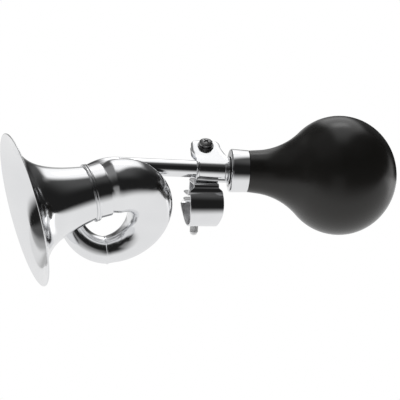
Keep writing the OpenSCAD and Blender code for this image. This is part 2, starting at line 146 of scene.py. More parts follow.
# The ears take their own shape from the root on. The upper one is pressed down along its edges.
EAR_ROOT = 3.0
CROWN_FROM = 4.0
CROWN_FULL = 8.0
CROWN_ABOVE = 2.0
CROWN_DROP = 0.55
CROWN_BORDER = 2.4

# Handlebar strap.
BAR_R = 11.1
BAR_STRAP_W = 20.0
BAR_LOW_W = 17.0
BAR_BACK_W = 12.0
BAR_STRAP_T = 1.2
BAR_ANGLE = 8.0
SADDLE_Z = 13.3
SADDLE_W = 15.0
BAR_TAPER_Z = 9.55
SADDLE_FRONT = 7.6
SADDLE_BACK = 10.0
BAR_EAR_END = 23.5
BAR_EAR_W = 12.0
BAR_EAR_Z = 2.7
BAR_EAR_CORNER = 3.0
BAR_GAP = 3.0
BAR_SCREW_Y = 17.2
BAR_SCREW_SIDE = 0.9

# Screws.
PIPE_SCREW_D = 4.0
PIPE_HEAD_D = 8.2
PIPE_SCREW_LEN = 12.0
PIPE_NUT_AF = 7.0
BAR_SCREW_D = 5.0
BAR_HEAD_D = 9.0
BAR_SCREW_LEN = 27.0
BAR_NUT_AF = 8.0
HEAD_H = 3.0
NUT_H = 3.2
WASHER_T = 0.8
SCREW_PLAY = 0.15
RIVET_R = 2.0


def turn(angle, axis):
    return Matrix.Rotation(math.radians(angle), 4, axis)


def shift(x, y, z):
    return Matrix.Translation((x, y, z))


HORN = shift(HORN_X, 0, PIPE_Z) @ turn(-HORN_ROLL, "X") @ shift(0, 0, -PIPE_Z)
FRONT_TURN = turn(BELL_YAW, "Z") @ turn(-BELL_PITCH, "Y") @ turn(90 + BEND_TILT, "X")
SEAM_Z = PIPE_Z - REAR_TOP_BEND - REAR_LOW_BEND
SEAM_POINT = Vector((-SEAM_X, 0, SEAM_Z))
FRONT_FRAME = Matrix.Translation(SEAM_POINT) @ FRONT_TURN
THROAT_SIDE = FRONT_LOW_BEND + FRONT_TOP_BEND
THROAT_POINT = FRONT_FRAME @ Vector((-THROAT_BACK, THROAT_SIDE, 0))
AT_THROAT = (
    Matrix.Translation(THROAT_POINT) @ turn(BELL_YAW, "Z") @ turn(-BELL_PITCH, "Y") @ turn(-90, "Y")
)
BELL_AXIS = (FRONT_TURN @ Vector((1, 0, 0))).normalized()
SEAM_AXIS = (Vector((1, 0, 0)) + BELL_AXIS).normalized()
PIPE_START = -SEAM_X - REAR_LOW_BEND + REAR_TOP_BEND
ON_PIPE = shift(0, 0, PIPE_Z) @ turn(90, "Y")
ON_EARS = shift(STRAP_X - EAR_LEAN, 0, PIPE_Z) @ turn(EAR_ANGLE, "X")
AT_EAR_SCREW = ON_EARS @ shift(0, EAR_SCREW, 0)
ON_BAR = turn(BAR_ANGLE, "Z")
AT_BAR_SCREW = ON_BAR @ shift(BAR_SCREW_SIDE, BAR_SCREW_Y, 0)


# Node helpers and shared surface effects.


def new_group(name, inputs, outputs):
    group = bpy.data.node_groups.new(name, "ShaderNodeTree")
    for label, kind, value in inputs:
        socket = group.interface.new_socket(label, in_out="INPUT", socket_type=kind)
        socket.default_value = value
    for label, kind in outputs:
        group.interface.new_socket(label, in_out="OUTPUT", socket_type=kind)
    return group, group.nodes.new("NodeGroupInput"), group.nodes.new("NodeGroupOutput")


def add(tree, kind, links=(), **settings):
    """A new node with its settings, and its inputs by name or index as values or sockets."""
    node = tree.nodes.new(kind)
    for key, value in settings.items():
        setattr(node, key, value)
    for key, value in dict(links).items():
        if isinstance(value, bpy.types.NodeSocket):
            tree.links.new(value, node.inputs[key])
        else:
            node.inputs[key].default_value = value
    return node


def noise(tree, vector, scale, detail, rough=0.5):
    inputs = {"Vector": vector, "Scale": scale, "Detail": detail, "Roughness": rough}
    return add(tree, "ShaderNodeTexNoise", inputs).outputs["Fac"]


def remap(tree, value, low, high, to_low, to_high, curve="LINEAR"):
    inputs = {"Value": value, "From Min": low, "From Max": high, "To Min": to_low, "To Max": to_high}
    return add(tree, "ShaderNodeMapRange", inputs, interpolation_type=curve).outputs["Result"]


def math_node(tree, operation, first, second=0):
    return add(tree, "ShaderNodeMath", {0: first, 1: second}, operation=operation).outputs[0]


def vector_node(tree, operation, first, second=(0, 0, 0)):
    """One step of vector arithmetic. A dot product and a length come out as a plain value."""
    node = add(tree, "ShaderNodeVectorMath", {0: first, 1: second}, operation=operation)
    return node.outputs["Value" if operation in ("DOT_PRODUCT", "LENGTH") else "Vector"]


def scaled(tree, value, share):
    return math_node(tree, "MULTIPLY", value, share)


def tint(tree, factor, first, second):
    """A colour between two, each of them a socket or plain red, green and blue."""
    ends = [end if isinstance(end, bpy.types.NodeSocket) else (*end, 1) for end in (first, second)]
    inputs = {"Factor": factor, "A": ends[0], "B": ends[1]}
    return add(tree, "ShaderNodeMix", inputs, data_type="RGBA").outputs["Result"]


def handling_marks():
    """Faint smudges and hair scratches, as one value for roughness and one for height."""
    group, given, result = new_group(
        "handling_marks",
        [("Vector", "NodeSocketVector", (0, 0, 0)), ("Smudges", "NodeSocketFloat", 0.03),
         ("Scratches", "NodeSocketFloat", 0.03)],
        [("Roughness", "NodeSocketFloat"), ("Height", "NodeSocketFloat")],
    )
    vector = given.outputs["Vector"]
    smudge = remap(group, noise(group, vector, 55, 4), 0.45, 0.75, 0, 1)
    wide = remap(group, noise(group, vector, 14, 2), 0.4, 0.65, 0, 1)
    smudge = scaled(group, scaled(group, smudge, wide), given.outputs["Smudges"])
    slanted = {"Vector": vector, "Rotation": (0.3, 0.9, 0.5), "Scale": (40, 900, 900)}
    stretched = add(group, "ShaderNodeMapping", slanted).outputs[0]
    hair = remap(group, noise(group, stretched, 1, 1), 0.7, 0.74, 0, 1)
    hair = scaled(group, hair, given.outputs["Scratches"])
    group.links.new(math_node(group, "ADD", smudge, hair), result.inputs["Roughness"])
    group.links.new(scaled(group, hair, -1.0), result.inputs["Height"])
    return group


def speckle():
    """A fine even grain for rubber, brass and steel, with a slow drift."""
    group, given, result = new_group(
        "speckle",
        [("Vector", "NodeSocketVector", (0, 0, 0)), ("Size", "NodeSocketFloat", 1500.0),
         ("Drift", "NodeSocketFloat", 0.3)],
        [("Grain", "NodeSocketFloat"), ("Cloud", "NodeSocketFloat")],
    )
    vector = given.outputs["Vector"]
    fine = noise(group, vector, given.outputs["Size"], 3.0, 0.6)
    cloud = remap(group, noise(group, vector, 22, 5), 0.35, 0.7, 0, 1)
    group.links.new(fine, result.inputs["Grain"])
    group.links.new(scaled(group, cloud, given.outputs["Drift"]), result.inputs["Cloud"])
    return group


def polishing_lines():
    """Lines left by the polishing wheel: even along one value, ragged across it."""
    group, given, result = new_group(
        "polishing_lines",
        [("Vector", "NodeSocketVector", (0, 0, 0)), ("Along", "NodeSocketFloat", 0.0)],
        [("Roughness", "NodeSocketFloat"), ("Height", "NodeSocketFloat")],
    )
    vector, level = given.outputs["Vector"], given.outputs["Along"]

    def lines(fine, ragged, detail):
        spread = vector_node(group, "MULTIPLY", vector, (ragged, ragged, ragged))
        comb = add(group, "ShaderNodeCombineXYZ", {0: scaled(group, level, fine)}).outputs[0]
        return noise(group, vector_node(group, "ADD", spread, comb), 1, detail)

    hairlines = lines(4200.0, 30.0, 2)
    streaks = lines(620.0, 22.0, 3)
    rough = math_node(group, "ADD", remap(group, streaks, 0.4, 0.7, 0, 1),
                      remap(group, hairlines, 0.45, 0.7, 0, 0.6))
    group.links.new(rough, result.inputs["Roughness"])
    height = math_node(group, "ADD", hairlines, scaled(group, streaks, 2.2))
    group.links.new(height, result.inputs["Height"])
    return group


MARKS = handling_marks()
SPECKLE = speckle()
LINES = polishing_lines()


def new_material(name, metallic=0.0):
    material = bpy.data.materials.new(name)
    material.use_nodes = True
    tree = material.node_tree
    shader = tree.nodes["Principled BSDF"]
    shader.inputs["Metallic"].default_value = metallic
    vector = add(tree, "ShaderNodeTexCoord").outputs["Object"]
    return material, tree, shader, vector


def finish_with(tree, shader, color, roughness):
    tree.links.new(color, shader.inputs["Base Color"])
    tree.links.new(roughness, shader.inputs["Roughness"])


def use_group(tree, group, values):
    return add(tree, "ShaderNodeGroup", values, node_tree=group)


def bump(tree, shader, height, strength, distance):
    node = add(tree, "ShaderNodeBump", {"Height": height, "Strength": strength, "Distance": distance})
    tree.links.new(node.outputs["Normal"], shader.inputs["Normal"])


def away_from(tree, vector, place):
    """The place on the surface, measured from the origin of a matrix."""
    return vector_node(tree, "SUBTRACT", vector, tuple(place.translation * MM))


def round_axis(tree, vector, place):
    """How far a place is along and out from the Z axis of a matrix, and the way round that axis."""
    axis = tuple((place.to_3x3() @ Vector((0, 0, 1))).normalized())
    offset = away_from(tree, vector, place)
    way_round = vector_node(tree, "CROSS_PRODUCT", axis, offset)
    return vector_node(tree, "DOT_PRODUCT", offset, axis), vector_node(tree, "LENGTH", way_round), way_round


def angle_round(tree, vector, place):
    """The angle of a place round the Z axis of a matrix, from its X axis."""
    offset = away_from(tree, vector, place)
    across, up = [tuple(place.to_3x3() @ Vector(way)) for way in ((1, 0, 0), (0, 1, 0))]
    return math_node(tree, "ARCTAN2", vector_node(tree, "DOT_PRODUCT", offset, up),
                     vector_node(tree, "DOT_PRODUCT", offset, across))


CLEAN_PLATE = (0.88, 0.885, 0.895)
CLOUDED_PLATE = (0.83, 0.835, 0.85)
# How strongly each trace of making and use shows on the chrome.
WHEEL_ROUGHNESS = 0.035
WHEEL_HEIGHT = 0.012
SCRATCH_HEIGHT = 0.02
BRUSHED = 0.45
LINES_ROUND = 0.25
# Metres of polishing lines that a bend has for each radian.
RUNG_REACH = 0.022
# Inside a strap the plate is thin and rougher, and its darker grey there is painted shade: how much rougher
# it is, and over how many millimetres it ends.
THIN_ROUGHNESS = 0.34
THIN_FADE = 0.12
# The darker grey inside a strap: painted shade.
THIN_PLATE_PAINTED_SHADE = (0.66, 0.66, 0.67)


def bright_chrome(name, roughness, waviness, place, matt_and_shaded_radius=0.0, bent=False):
    """Chrome plate over polished metal: wheel lines round the piece, slow waves, smudges, hair scratches.

    The lines run round the place's Z axis, or for a bent tube they stand like the rungs of its bend.
    Inside the given radius the plate is thin and matt, and its colour there is painted a darker grey as
    painted shade.
    """
    material, tree, shader, vector = new_material(name, metallic=1.0)
    along_it, out, way_round = round_axis(tree, vector, place)
    if bent:
        level = scaled(tree, angle_round(tree, vector, place), RUNG_REACH)
    else:
        level = math_node(tree, "ADD", along_it, out)
        tree.links.new(vector_node(tree, "NORMALIZE", way_round), shader.inputs["Tangent"])
        shader.inputs["Anisotropic"].default_value = BRUSHED
        shader.inputs["Anisotropic Rotation"].default_value = LINES_ROUND
    lines = use_group(tree, LINES, {"Vector": vector, "Along": level})
    marks = use_group(tree, MARKS, {"Vector": vector, "Smudges": 0.05, "Scratches": 0.05})
    rough = math_node(tree, "ADD", scaled(tree, lines.outputs["Roughness"], WHEEL_ROUGHNESS),
                      math_node(tree, "ADD", marks.outputs["Roughness"], roughness))
    cloud = remap(tree, noise(tree, vector, 30, 3), 0.35, 0.7, 0, 1)
    color = tint(tree, cloud, CLEAN_PLATE, CLOUDED_PLATE)
    if matt_and_shaded_radius:
        matt_and_shade = remap(tree, out, matt_and_shaded_radius * MM, (matt_and_shaded_radius + THIN_FADE) * MM, 1, 0)
        rough = math_node(tree, "ADD", rough, scaled(tree, matt_and_shade, THIN_ROUGHNESS))
        # Painted shade: inside the strap the colour is a darker grey. The added roughness is the thin matt
        # plate.
        color = tint(tree, matt_and_shade, color, THIN_PLATE_PAINTED_SHADE)
    finish_with(tree, shader, color, rough)
    scratches = scaled(tree, marks.outputs["Height"], SCRATCH_HEIGHT)
    height = math_node(tree, "ADD", noise(tree, vector, 42, 1), scratches)
    height = math_node(tree, "ADD", height, scaled(tree, lines.outputs["Height"], WHEEL_HEIGHT))
    bump(tree, shader, height, 1.0, waviness)
    return material


def grain_and_cloud(tree, vector, size):
    node = use_group(tree, SPECKLE, {"Vector": vector, "Size": size, "Drift": 1.0})
    return node.outputs["Grain"], node.outputs["Cloud"]


def black_rubber():
    """Satin black rubber with a fine grain, a little dust and slightly matt handled patches."""
    material, tree, shader, vector = new_material("black_rubber")
    grain, cloud = grain_and_cloud(tree, vector, 1900.0)
    color = tint(tree, cloud, (0.034, 0.032, 0.029), (0.04, 0.038, 0.035))
    finish_with(tree, shader, color, remap(tree, cloud, 0, 1, 0.18, 0.25))
    shader.inputs["Specular IOR Level"].default_value = 0.38
    bump(tree, shader, grain, 0.25, 0.00004)
    return material


def spun_brass():
    """Brass of the reed, slightly tarnished, with fine lathe lines across the horn's length."""
    material, tree, shader, vector = new_material("spun_brass", metallic=1.0)
    cloud = grain_and_cloud(tree, vector, 900.0)[1]
    color = tint(tree, cloud, (0.80, 0.60, 0.28), (0.62, 0.45, 0.20))
    finish_with(tree, shader, color, remap(tree, cloud, 0, 1, 0.2, 0.34))
    lines = add(tree, "ShaderNodeMapping", {"Vector": vector, "Scale": (6000, 60, 60)}).outputs[0]
    bump(tree, shader, noise(tree, lines, 1, 2), 0.15, 0.00003)
    return material


def bright_steel(name, light, dark, rough):
    """Zinc-plated steel of the screws, nuts and washers, with a fine cloudy grain."""
    material, tree, shader, vector = new_material(name, metallic=1.0)
    grain, cloud = grain_and_cloud(tree, vector, 1400.0)
    color = tint(tree, cloud, (light,) * 3, (dark,) * 3)
    finish_with(tree, shader, color, remap(tree, cloud, 0, 1, rough, rough + 0.14))
    bump(tree, shader, grain, 0.12, 0.00003)
    return material


FRONT_CENTRE = shift((SEAM_STRAIGHT + FRONT_LOW_BEND - FRONT_TOP_BEND) / 2, FRONT_LOW_BEND, 0)
REAR_CENTRE = shift(-SEAM_X, 0, PIPE_Z - REAR_TOP_BEND) @ turn(90, "X")
BELL_CHROME = bright_chrome("spun_chrome", 0.09, 0.000012, HORN @ AT_THROAT)
FRONT_CHROME = bright_chrome("bent_chrome", 0.13, 0.000014, HORN @ FRONT_FRAME @ FRONT_CENTRE, bent=True)
REAR_CHROME = bright_chrome("thin_bent_chrome", 0.08, 0.000014, HORN @ REAR_CENTRE, bent=True)
PIPE_CHROME = bright_chrome("drawn_chrome", 0.05, 0.000012, ON_PIPE)
# Inside the straps' bores the chrome is rougher and painted darker as painted shade.
STRAP_CHROME = bright_chrome("rolled_chrome", 0.09, 0.000014, ON_PIPE, BORE_R + 0.1)
BAR_CHROME = bright_chrome("pressed_chrome", 0.07, 0.000012, ON_BAR @ turn(90, "Y"), BAR_R + 0.1)
RUBBER = black_rubber()
BRASS = spun_brass()
STEEL = bright_steel("bright_steel", 0.88, 0.8, 0.4)
DARK_STEEL = bright_steel("dulled_steel", 0.42, 0.2, 0.24)


# Modelling helpers.


def go_to(mode):
    bpy.ops.object.mode_set(mode=mode)


def deselect():
    bpy.ops.object.select_all(action="DESELECT")


def pick(piece):
    """Selects one piece alone and makes it the active one."""
    deselect()
    piece.select_set(True)
    bpy.context.view_layer.objects.active = piece


def loose_vertex(name, point):
    """A new piece of one selected vertex at the point, in edit mode."""
    deselect()
    bpy.ops.mesh.primitive_plane_add(size=1)
    piece = bpy.context.object
    piece.name = name
    go_to("EDIT")
    bpy.ops.mesh.merge(type="CENTER")
    bpy.ops.transform.translate(value=point)
    return piece


def draw_on(points):
    """Extrudes what is selected from the first point through the others."""
    for start, end in zip(points, points[1:]):
        step = Vector(end) - Vector(start)
        bpy.ops.mesh.extrude_region_move(TRANSFORM_OT_translate={"value": step})


def select_all_of_it():
    bpy.ops.mesh.select_all(action="SELECT")


def close_up():
    """Merges what meets and turns every face outwards."""
    select_all_of_it()
    bpy.ops.mesh.remove_doubles(threshold=0.0008)
    bpy.ops.mesh.normals_make_consistent(inside=False)


def turned(name, outline, steps=128):
    """Spins an outline of (radius, height) about the Z axis. A closed outline ends where it starts."""
    points = [(r, 0, z) for r, z in outline]
    piece = loose_vertex(name, points[0])
    draw_on(points)
    select_all_of_it()
    bpy.ops.mesh.spin(steps=steps, angle=math.tau, center=(0, 0, 0), axis=(0, 0, 1))
    close_up()
    go_to("OBJECT")
    return piece


def arc(centre, radius, start, end, steps=8):
    """Points on an arc, in degrees."""
    angles = [math.radians(start + (end - start) * i / steps) for i in range(steps + 1)]
    return [(centre[0] + radius * math.cos(a), centre[1] + radius * math.sin(a)) for a in angles]


def round_outside(low, high, bottom, top, edge, steps=4):
    """The closed outline of a flat ring whose outer corners are rounded."""
    outline = [(low, bottom)] + arc((high - edge, bottom + edge), edge, -90, 0, steps)
    outline += arc((high - edge, top - edge), edge, 0, 90, steps)
    return outline + [(low, top), (low, bottom)]


def use_modifier(piece, kind, **settings):
    pick(piece)
    modifier = piece.modifiers.new(kind.lower(), kind)
    for key, value in settings.items():
        setattr(modifier, key, value)
    bpy.ops.object.modifier_apply(modifier=modifier.name)


def round_edges(piece, width, segments=3, angle=40):
    use_modifier(piece, "BEVEL", width=width, segments=segments, limit_method="ANGLE",
                 angle_limit=math.radians(angle), harden_normals=False)


def cut_away(piece, cutter):
    use_modifier(piece, "BOOLEAN", operation="DIFFERENCE", solver="EXACT", object=cutter)
    bpy.data.objects.remove(cutter)


def drill(piece, place, radius, length=60):
    """Cuts a round hole along the place's Z axis, through its origin."""
    deselect()
    bpy.ops.mesh.primitive_cylinder_add(vertices=48, radius=radius, depth=length)
    cutter = bpy.context.object
    cutter.matrix_world = place
    cut_away(piece, cutter)


def cut_box(piece, place, size, floor=(1, 1)):
    """Cuts out a box centred on the place, narrowed at its floor to a share of its sides."""
    deselect()
    bpy.ops.mesh.primitive_cube_add(size=1)
    box = bpy.context.object
    go_to("EDIT")
    bpy.ops.mesh.select_all(action="DESELECT")
    go_to("OBJECT")
    for face in box.data.polygons:
        face.select = face.normal.z < -0.9
    go_to("EDIT")
    bpy.ops.mesh.select_mode(type="FACE")
    bpy.ops.transform.resize(value=(*floor, 1), center_override=(0, 0, -0.5))
    bpy.ops.mesh.select_mode(type="VERT")
    go_to("OBJECT")
    box.matrix_world = place @ Matrix.Diagonal((*size, 1))
    cut_away(piece, box)


def swept(name, points, radii, sides):
    """A tube along the points with a radius at each, open at both ends."""
    deselect()
    bpy.ops.curve.primitive_nurbs_path_add()
    piece = bpy.context.object
    piece.name = name
    line = piece.data
    line.splines.clear()
    spline = line.splines.new("POLY")
    spline.points.add(len(points) - 1)
    for spot, point, radius in zip(spline.points, points, radii):
        spot.co = (*point, 1)
        spot.radius = radius
    line.dimensions = "3D"
    line.bevel_depth = 1.0
    line.bevel_resolution = sides
    line.use_fill_caps = False
    bpy.ops.object.convert(target="MESH")
    return bpy.context.object


def trim(piece, point, normal, reach):
    """Cuts off what lies beyond a plane, within reach of its point."""
    go_to("EDIT")
    bpy.ops.mesh.select_mode(type="VERT")
    bpy.ops.mesh.select_all(action="DESELECT")
    go_to("OBJECT")
    for spot in piece.data.vertices:
        spot.select = (spot.co - point).length < reach
    go_to("EDIT")
    bpy.ops.mesh.bisect(plane_co=point, plane_no=normal, clear_outer=True)
    go_to("OBJECT")


def bent_strip(name, path, edges, thickness):
    """Sheet metal along a path of (y, z) with a left and a right edge at each point."""
    left, right = edges[0]
    piece = loose_vertex(name, (left, *path[0]))
    bpy.ops.mesh.extrude_region_move(TRANSFORM_OT_translate={"value": (right - left, 0, 0)})
    select_all_of_it()
    rows = list(zip(path, edges))
    for (start, before), (stop, after) in zip(rows, rows[1:]):
        middle = sum(after) / 2
        step = (middle - sum(before) / 2, stop[0] - start[0], stop[1] - start[1])
        bpy.ops.mesh.extrude_region_move(TRANSFORM_OT_translate={"value": step})
        wider = (after[1] - after[0]) / (before[1] - before[0])
        bpy.ops.transform.resize(value=(wider, 1, 1), center_override=(middle, *stop))
    go_to("OBJECT")
    use_modifier(piece, "SOLIDIFY", thickness=thickness, offset=0, use_even_offset=True)
    go_to("EDIT")
    close_up()
    go_to("OBJECT")
    return piece


def settle(piece, place, material, slot, body, *nodes, smooth=38):
    """Puts a finished piece in the model's frame, in metres, with its finish, and hides its nodes. The slot
    is not used.

    It rides on the body, if one is given.
    """
    pick(piece)
    piece.matrix_world = Matrix.Scale(MM, 4) @ place
    bpy.ops.object.transform_apply(location=True, rotation=True, scale=True)
    bpy.ops.object.shade_smooth_by_angle(angle=math.radians(smooth))
    piece.data.materials.clear()
    piece.data.materials.append(material)
    if body:
        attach(piece, body)
    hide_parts(*nodes)
    return piece


# The bell and the coil.


def bell_side(offset):
    """One wall of the bell: its radius grows as a power of the distance left to a pole past the rim."""
    growth = (RIM_R / THROAT_R) ** (1 / FLARE_POWER)
    pole = BELL_LEN * growth / (growth - 1)
    steps = 56
    points = [(THROAT_R - offset, PLAY)]
    for i in range(1, steps + 1):
        left = (1 - BELL_LEN / pole) ** (i / steps)
        radius = THROAT_R * left ** -FLARE_POWER
        slope = math.atan(FLARE_POWER * radius / (pole * left))
        points.append((radius - offset * math.cos(slope), pole * (1 - left) + offset * math.sin(slope)))
    return points


def make_bell():
    outer = bell_side(0)
    inner = bell_side(BELL_WALL)
    outward = (Vector(outer[-1]) - Vector(outer[-2])).normalized() * BELL_WALL / 2
    for wall in (outer, inner):
        wall[-1] = tuple(Vector(wall[-1]) - outward)
    middle = Vector(outer[-1]).lerp(Vector(inner[-1]), 0.5)
    lip_from = math.degrees(math.atan2(outer[-1][1] - middle.y, outer[-1][0] - middle.x))
    lip = arc(middle, BELL_WALL / 2, lip_from, lip_from + 180, 8)[1:-1]
    outline = outer + lip + inner[::-1] + outer[:1]
    bell = turned("spun_bell", outline, 160)
    settle(bell, HORN @ AT_THROAT, BELL_CHROME, "chrome", "horn", "bell")


def make_bell_ring():
    low = THROAT_R - 0.1
    side, bead, apart = 1.35, 0.62, 0.68
    outline = [(low, -side), (low + 0.55, -side)]
    outline += arc((low + 0.62, -apart), bead, -150, 60, 10)
    outline += arc((low + 0.78, apart), bead, -60, 150, 10)
    outline += [(low + 0.75, side), (low, side), (low, -side)]
    ring = turned("double_bead_ring", outline, 160)
    settle(ring, HORN @ AT_THROAT, BELL_CHROME, "chrome", "horn", "bell_ring")


def make_sleeve():
    inner, edge = WIDE_R + PLAY, 0.45
    outline = [(inner, -SLEEVE_LEN)]
    outline += arc((THROAT_R - edge, edge - SLEEVE_LEN), edge, -90, 0, 6)
    outline += [(THROAT_R, -SLEEVE_LEN / 2), (THROAT_R, 0), (inner, 0), (inner, -SLEEVE_LEN)]
    sleeve = turned("throat_sleeve", outline)
    settle(sleeve, HORN @ AT_THROAT, BELL_CHROME, "chrome", "horn", "coil_sleeve")


def smooth_radius(keys, at):
    """A curve through (length, radius) keys that has no kink."""
    spans = list(zip(keys, keys[1:]))
    slopes = [(stop[1] - start[1]) / (stop[0] - start[0]) for start, stop in spans]
    ends = [slopes[0]]
    for before, after in zip(slopes, slopes[1:]):
        ends.append(0 if before * after <= 0 else 2 * before * after / (before + after))
    ends.append(slopes[-1])
    for i, (start, stop) in enumerate(spans):
        if at <= stop[0] or i == len(spans) - 1:
            span = stop[0] - start[0]
            t = min(1.0, max(0.0, (at - start[0]) / span))
            risen = 3 * t * t - 2 * t ** 3
            lean = (t ** 3 - 2 * t * t + t) * ends[i] + (t ** 3 - t * t) * ends[i + 1]
            return (1 - risen) * start[1] + risen * stop[1] + span * lean


def along(points):
    """The length along a line of points at each of them."""
    lengths = [0.0]
    for a, b in zip(points, points[1:]):
        lengths.append(lengths[-1] + (Vector(b) - Vector(a)).length)
    return lengths


def fit_bend(name, points, keys, sides, outward, finish, node):
    """A bent tube that is cut square to the coil's seam and given its wall."""
    radii = [smooth_radius(keys, at) for at in along(points)]
    bend = swept(name, points, radii, sides)
    trim(bend, SEAM_POINT, outward, SEAM_REACH)
    use_modifier(bend, "SOLIDIFY", thickness=TUBE_WALL, offset=-1)
    settle(bend, HORN, finish, "chrome", "horn", node)


def make_front_bend():
    low, top = FRONT_LOW_BEND, FRONT_TOP_BEND
    line = [(-PAST_SEAM * (1 - i / 6), 0) for i in range(6)]
    line += [(SEAM_STRAIGHT * i / 4, 0) for i in range(4)]
    line += arc((SEAM_STRAIGHT, low), low, -90, 0, 44)
    turn_x = SEAM_STRAIGHT + low - top
    line += arc((turn_x, low), top, 0, 90, 40)[1:]
    last = PLAY - THROAT_BACK
    line += [(turn_x + (last - turn_x) * i / 16, THROAT_SIDE) for i in range(1, 17)]
    points = [FRONT_FRAME @ Vector((x, y, 0)) for x, y in line]
    low_from = PAST_SEAM + SEAM_STRAIGHT
    top_from = low_from + low * math.pi / 2
    top_to = top_from + top * math.pi / 2
    keys = [(0, SEAM_R - 0.2), (PAST_SEAM, SEAM_R), (low_from, SEAM_R + 0.5), (top_from, TURN_R),
            (top_to, BULGE_R), (top_to + turn_x - SLEEVE_LEN + THROAT_BACK, WIDE_R),
            (top_to + turn_x - last, WIDE_R)]
    fit_bend("front_bend_tube", points, keys, 30, -SEAM_AXIS, FRONT_CHROME, "front_bend")


def make_rear_bend():
    low, top = REAR_LOW_BEND, REAR_TOP_BEND
    line = arc((PIPE_START, PIPE_Z - top), top, 90, 180, 44)
    line += arc((-SEAM_X, SEAM_Z + low), low, 180, 270, 40)[1:]
    line += [(-SEAM_X + PAST_SEAM * i / 6, SEAM_Z) for i in range(1, 7)]
    points = [(x, 0, z) for x, z in line]
    total = (low + top) * math.pi / 2
    keys = [(0, PIPE_R), (top * math.pi / 2, PIPE_R + (SEAM_R - PIPE_R) * top / (top + low)),
            (total, SEAM_R), (total + PAST_SEAM, SEAM_R + 0.1)]
    fit_bend("rear_bend_tube", points, keys, 26, SEAM_AXIS, REAR_CHROME, "rear_bend")


def make_seam_ring():
    low, half, foot, crown = SEAM_R - 0.1, 0.6, 0.15, 0.37
    outline = [(low, -half)]
    outline += [(low + foot + crown * y, x * half) for x, y in arc((0, 0), 1, 180, 0, 12)]
    outline += [(low, half), (low, -half)]
    ring = turned("soldered_seam_ring", outline, 96)
    place = Matrix.Translation(SEAM_POINT) @ SEAM_AXIS.to_track_quat("Z", "Y").to_matrix().to_4x4()
    settle(ring, HORN @ place, PIPE_CHROME, "chrome", "horn", "seam_ring")


def make_pipe():
    inner, edge, seam_edge = PIPE_R - TUBE_WALL, 0.2, 0.06
    outline = [(inner, PIPE_START)]
    outline += arc((PIPE_R - seam_edge, PIPE_START + seam_edge), seam_edge, -90, 0, 3)
    outline += [(PIPE_R, PIPE_START + (PIPE_END - PIPE_START) * i / 12) for i in range(1, 12)]
    outline += arc((PIPE_R - edge, PIPE_END - edge), edge, 0, 90, 4)
    outline += [(inner, PIPE_END), (inner, PIPE_START)]
    pipe = turned("straight_pipe", outline, 96)
    settle(pipe, HORN @ ON_PIPE, PIPE_CHROME, "chrome", "horn", "pipe")


# Collar, washer, reed, holder and bulb.


def make_collar():
    inner, edge = PIPE_R + PLAY, 0.2
    nose, bore, stop = 0.5, REED_FLANGE_R + 0.2, PIPE_END - 1
    outline = round_outside(inner, FLANGE_R, FLANGE_X, FLANGE_X + FLANGE_T, edge)[:-2]
    outline += [(COLLAR_R, FLANGE_X + FLANGE_T)]
    outline += arc((COLLAR_R - nose, COLLAR_END - nose), nose, 0, 90, 5)
    outline += [(bore, COLLAR_END), (bore, stop), (inner, stop), (inner, FLANGE_X)]
    collar = turned("pipe_end_collar", outline, 96)
    settle(collar, HORN @ ON_PIPE, PIPE_CHROME, "chrome", "horn", "pipe_collar")


def make_collar_washer():
    outline = round_outside(COLLAR_R + PLAY, FLANGE_R - 0.1, FLANGE_X + FLANGE_T, HOLDER_X, 0.2)
    washer = turned("soft_collar_washer", outline, 96)
    settle(washer, HORN @ ON_PIPE, RUBBER, "rubber", "horn", "collar_washer")


def make_holder():
    corner, rim, hole_edge = 1.2, 0.3, 0.15
    hole = COLLAR_R + 0.08
    cup = HOLDER_R - HOLDER_WALL
    end = HOLDER_X + HOLDER_LEN
    outline = [(hole, HOLDER_X + hole_edge), (hole + hole_edge, HOLDER_X)]
    outline += arc((HOLDER_WIDE_R - corner, HOLDER_X + corner), corner, -90, 0, 10)
    outline += arc((HOLDER_R - rim, end - rim), rim, 0, 90, 5)
    outline += [(cup, end), (cup, HOLDER_X + CUP_FLOOR), (hole, HOLDER_X + CUP_FLOOR)]
    outline += [(hole, HOLDER_X + hole_edge)]
    holder = turned("bulb_cup", outline)
    settle(holder, HORN @ ON_PIPE, PIPE_CHROME, "chrome", "holder", "bulb_holder")


def bulb_side(offset):
    """One side of the rubber from the neck to the far end, inside the outer one by the offset."""
    fillet_y = NECK_END_R + NECK_FILLET * math.cos(math.radians(NECK_ANGLE))
    fillet_x = BULB_X - math.sqrt((BULB_R + NECK_FILLET) ** 2 - fillet_y * fillet_y)
    stop = math.degrees(math.atan2(BULB_X - fillet_x, fillet_y))
    flow = arc((fillet_x, fillet_y), NECK_FILLET + offset, NECK_ANGLE - 90, stop - 90, 24)
    ball = arc((BULB_X, 0), BULB_R - offset, stop + 90, 0, 64)[1:]
    ball[-1] = (ball[-1][0], 0)
    return [(y, BULB_X + BULB_SQUASH * (x - BULB_X)) for x, y in flow + ball]


def make_bulb():
    start = HOLDER_X + CUP_FLOOR + PLAY
    shoulder = HOLDER_X + HOLDER_LEN + PLAY
    tuck = HOLDER_R - HOLDER_WALL - PLAY
    bore = tuck - RUBBER_WALL
    foot, bead, skin = 0.3, 0.35, 0.01
    inside = [(bore, start), (bore, shoulder)] + bulb_side(RUBBER_WALL)
    outside = [(tuck - foot, start), (tuck, start + foot), (tuck, shoulder - 0.01)]
    outside += arc((NECK_R - bead, shoulder + bead), bead, -90, 0, 5) + bulb_side(skin)
    bulb = turned("rubber_bulb_ball", inside[::-1] + outside, 192)
    settle(bulb, HORN @ ON_PIPE, RUBBER, "rubber", None, "bulb", smooth=50)
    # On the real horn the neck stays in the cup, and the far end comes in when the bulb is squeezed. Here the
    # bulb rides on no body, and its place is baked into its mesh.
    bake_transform(bulb)


